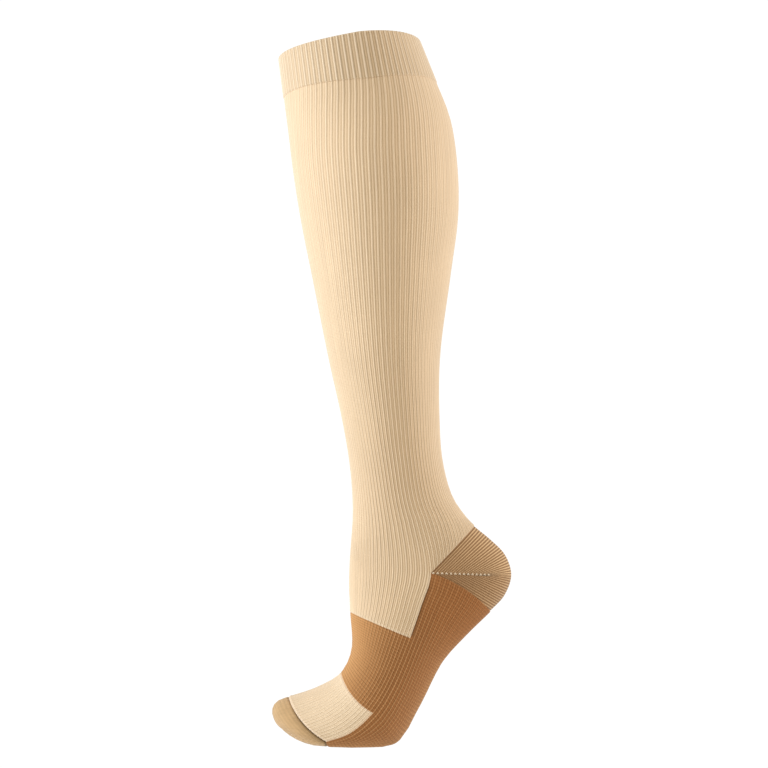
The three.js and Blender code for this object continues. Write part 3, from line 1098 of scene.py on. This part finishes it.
def seam_shadow_share(station, wale):
    """The painted shadow in the toe seam grows from its top down to the sole."""
    at_top, first_wale, wales = 0.1, 6, 28
    return at_top + (1 - at_top) * ease((min(wale, WALES - wale) - first_wale) / wales)


def toe_cap_material(colours):
    """Plain knit of the toe cap, with painted ripples of shade along its courses and a painted shadow where
    its seam sinks in.
    """
    loop_shade_share, seam_shadow_mix = 0.3, 0.9
    ripple_shade_share, ripples_per_course = 0.22, 0.22
    knit = KnitNodes("toe_cap_plain_knit")
    wale, course = knit.wales_and_courses(COURSE_HEIGHT)
    stitches = knit.stitches(wale, course)
    clouds = knit.noise(120, 2)
    base = knit.mix(clouds, rgba(colours.toe_cap, 0.85), rgba(colours.toe_cap, 1.18))
    # Painted shade in bands along the courses, between the ripples' highlights.
    painted_ripple_shade = knit.times(knit.wave(knit.times(course, ripples_per_course)), ripple_shade_share)
    painted_shade_between_loops = knit.times(knit.math("SUBTRACT", 1, stitches), loop_shade_share)
    shaded = knit.mix(knit.plus(painted_shade_between_loops, painted_ripple_shade), base, rgba(colours.toe_cap, 0.6))
    # Painted shadow in the seam's groove.
    seam_groove_shadow = knit.math("POWER", knit.attribute("closeness"), 1.6)
    seam_shadowed = knit.mix(knit.times(seam_groove_shadow, seam_shadow_mix), shaded, rgba(colours.seam))
    knit.bump(stitches, STITCH_DEPTH * 1.3)
    return knit.finish(knit.uneven(seam_shadowed), 0.25, (1, 0.95, 0.86))


class KNIT_OT_stage(bpy.types.Operator):
    """Set up the pale floor, the soft light and the camera"""

    bl_idname = "stocking.stage"
    bl_label = "Stage"

    def execute(self, context):
        make_floor()
        make_lights(context.scene)
        make_camera(context.scene)
        return {"FINISHED"}


def make_floor():
    """A plain pale floor, well below the foot, which hangs clear of it."""
    floor_radius, floor_height = 2.6, -0.95
    bm = bmesh.new()
    bmesh.ops.create_circle(bm, cap_ends=True, radius=floor_radius, segments=96)
    bmesh.ops.translate(bm, verts=bm.verts[:], vec=(0, 0, floor_height))
    mesh = bpy.data.meshes.new("pale_floor")
    bm.to_mesh(mesh)
    bm.free()
    material = bpy.data.materials.new("pale_floor_paint")
    material.use_nodes = True
    shader = material.node_tree.nodes["Principled BSDF"]
    shader.inputs["Base Color"].default_value = (0.93, 0.93, 0.93, 1)
    shader.inputs["Roughness"].default_value = 0.9
    mesh.materials.append(material)
    floor = bpy.data.objects.new("pale_floor", mesh)
    bpy.context.scene.collection.objects.link(floor)


Softbox = namedtuple("Softbox", "name place size power colour")
SOFTBOXES = [
    Softbox("left_softbox", (-1.3, -0.35, 0.2), (0.9, 1.5), 25.2, (0.86, 1, 1.22)),
    Softbox("right_softbox", (1.4, -0.15, 0.3), (0.8, 1.2), 17.8, (0.92, 1, 1.18)),
]
LIT_POINT = Vector((0.02, 0, -0.24))
ROOM_LIGHT = 0.56  # strength of the white room as a light, and as the backdrop
ROOM_SEEN = 1.05
ROOM_TINT = (1, 0.93, 0.77, 1)


def make_lights(scene):
    """Soft light from both sides, strongest from the toe side, in a white room."""
    for softbox in SOFTBOXES:
        light = bpy.data.lights.new(softbox.name, "AREA")
        light.shape = "RECTANGLE"
        light.size, light.size_y = softbox.size
        light.energy = softbox.power
        light.color = softbox.colour
        lamp = bpy.data.objects.new(softbox.name, light)
        lamp.location = softbox.place
        lamp.rotation_euler = (LIT_POINT - Vector(softbox.place)).to_track_quat("-Z", "Y").to_euler()
        scene.collection.objects.link(lamp)
    make_room(scene)


def make_room(scene):
    """The white room lights the stocking with a warm tint, and is seen plain white."""
    room = bpy.data.worlds.new("white_room")
    scene.world = room
    room.use_nodes = True
    nodes, links = room.node_tree.nodes, room.node_tree.links
    background = nodes["Background"]
    seen = nodes.new("ShaderNodeLightPath").outputs["Is Camera Ray"]
    strength = nodes.new("ShaderNodeMapRange")
    strength.inputs["To Min"].default_value = ROOM_LIGHT
    strength.inputs["To Max"].default_value = ROOM_SEEN
    tint = nodes.new("ShaderNodeMix")
    tint.data_type = "RGBA"
    tint.inputs[6].default_value = ROOM_TINT
    tint.inputs[7].default_value = (1, 1, 1, 1)
    links.new(seen, strength.inputs["Value"])
    links.new(seen, tint.inputs["Factor"])
    links.new(strength.outputs["Result"], background.inputs["Strength"])
    links.new(tint.outputs[2], background.inputs["Color"])


def make_camera(scene):
    """A long lens at the side of the stocking, a little below its middle."""
    camera_place = (0.0215, -1.4, -0.3448)
    camera_turn = math.radians(94.5)  # 90 degrees is level
    half_view = 0.20255  # half the frame's width at a distance of 1
    camera = bpy.data.cameras.new("side_camera")
    camera.sensor_width = 36
    camera.angle = 2 * math.atan(half_view)
    viewer = bpy.data.objects.new("side_camera", camera)
    viewer.location = camera_place
    viewer.rotation_euler = (camera_turn, 0, 0)
    scene.collection.objects.link(viewer)
    scene.camera = viewer
    scene.view_settings.view_transform = "Standard"


class VIEW3D_PT_stocking(bpy.types.Panel):
    """Lists the stocking's pieces and sizes"""

    bl_label = "Stocking"
    bl_idname = "VIEW3D_PT_stocking"
    bl_space_type = "VIEW_3D"
    bl_region_type = "UI"
    bl_category = "Stocking"

    def draw(self, context):
        for operator in PIECE_OPERATORS:
            self.layout.operator(operator.bl_idname)
        for group in (context.scene.stocking_sizes, context.scene.stocking_colours):
            for name in group.__annotations__:
                self.layout.prop(group, name)


PIECE_OPERATORS = (
    KNIT_OT_cuff,
    KNIT_OT_leg,
    KNIT_OT_heel,
    KNIT_OT_gore_stitches,
    KNIT_OT_sole,
    KNIT_OT_toe_panel,
    KNIT_OT_toe_cap,
    KNIT_OT_stage,
)
CLASSES = (StockingSizes, StockingColours, *PIECE_OPERATORS, VIEW3D_PT_stocking)


def register():
    """Adds the classes, and the sizes and colours to the scene."""
    for cls in CLASSES:
        bpy.utils.register_class(cls)
    bpy.types.Scene.stocking_sizes = bpy.props.PointerProperty(type=StockingSizes)
    bpy.types.Scene.stocking_colours = bpy.props.PointerProperty(type=StockingColours)


def unregister():
    """Takes away what register adds."""
    del bpy.types.Scene.stocking_colours
    del bpy.types.Scene.stocking_sizes
    for cls in reversed(CLASSES):
        bpy.utils.unregister_class(cls)


def main():
    """Knits the stocking piece by piece."""
    register()
    bpy.ops.stocking.cuff()
    bpy.ops.stocking.leg()
    bpy.ops.stocking.heel()
    bpy.ops.stocking.gore_stitches()
    bpy.ops.stocking.sole()
    bpy.ops.stocking.toe_panel()
    bpy.ops.stocking.toe_cap()
    bpy.ops.stocking.stage()


if __name__ == "__main__":
    main()
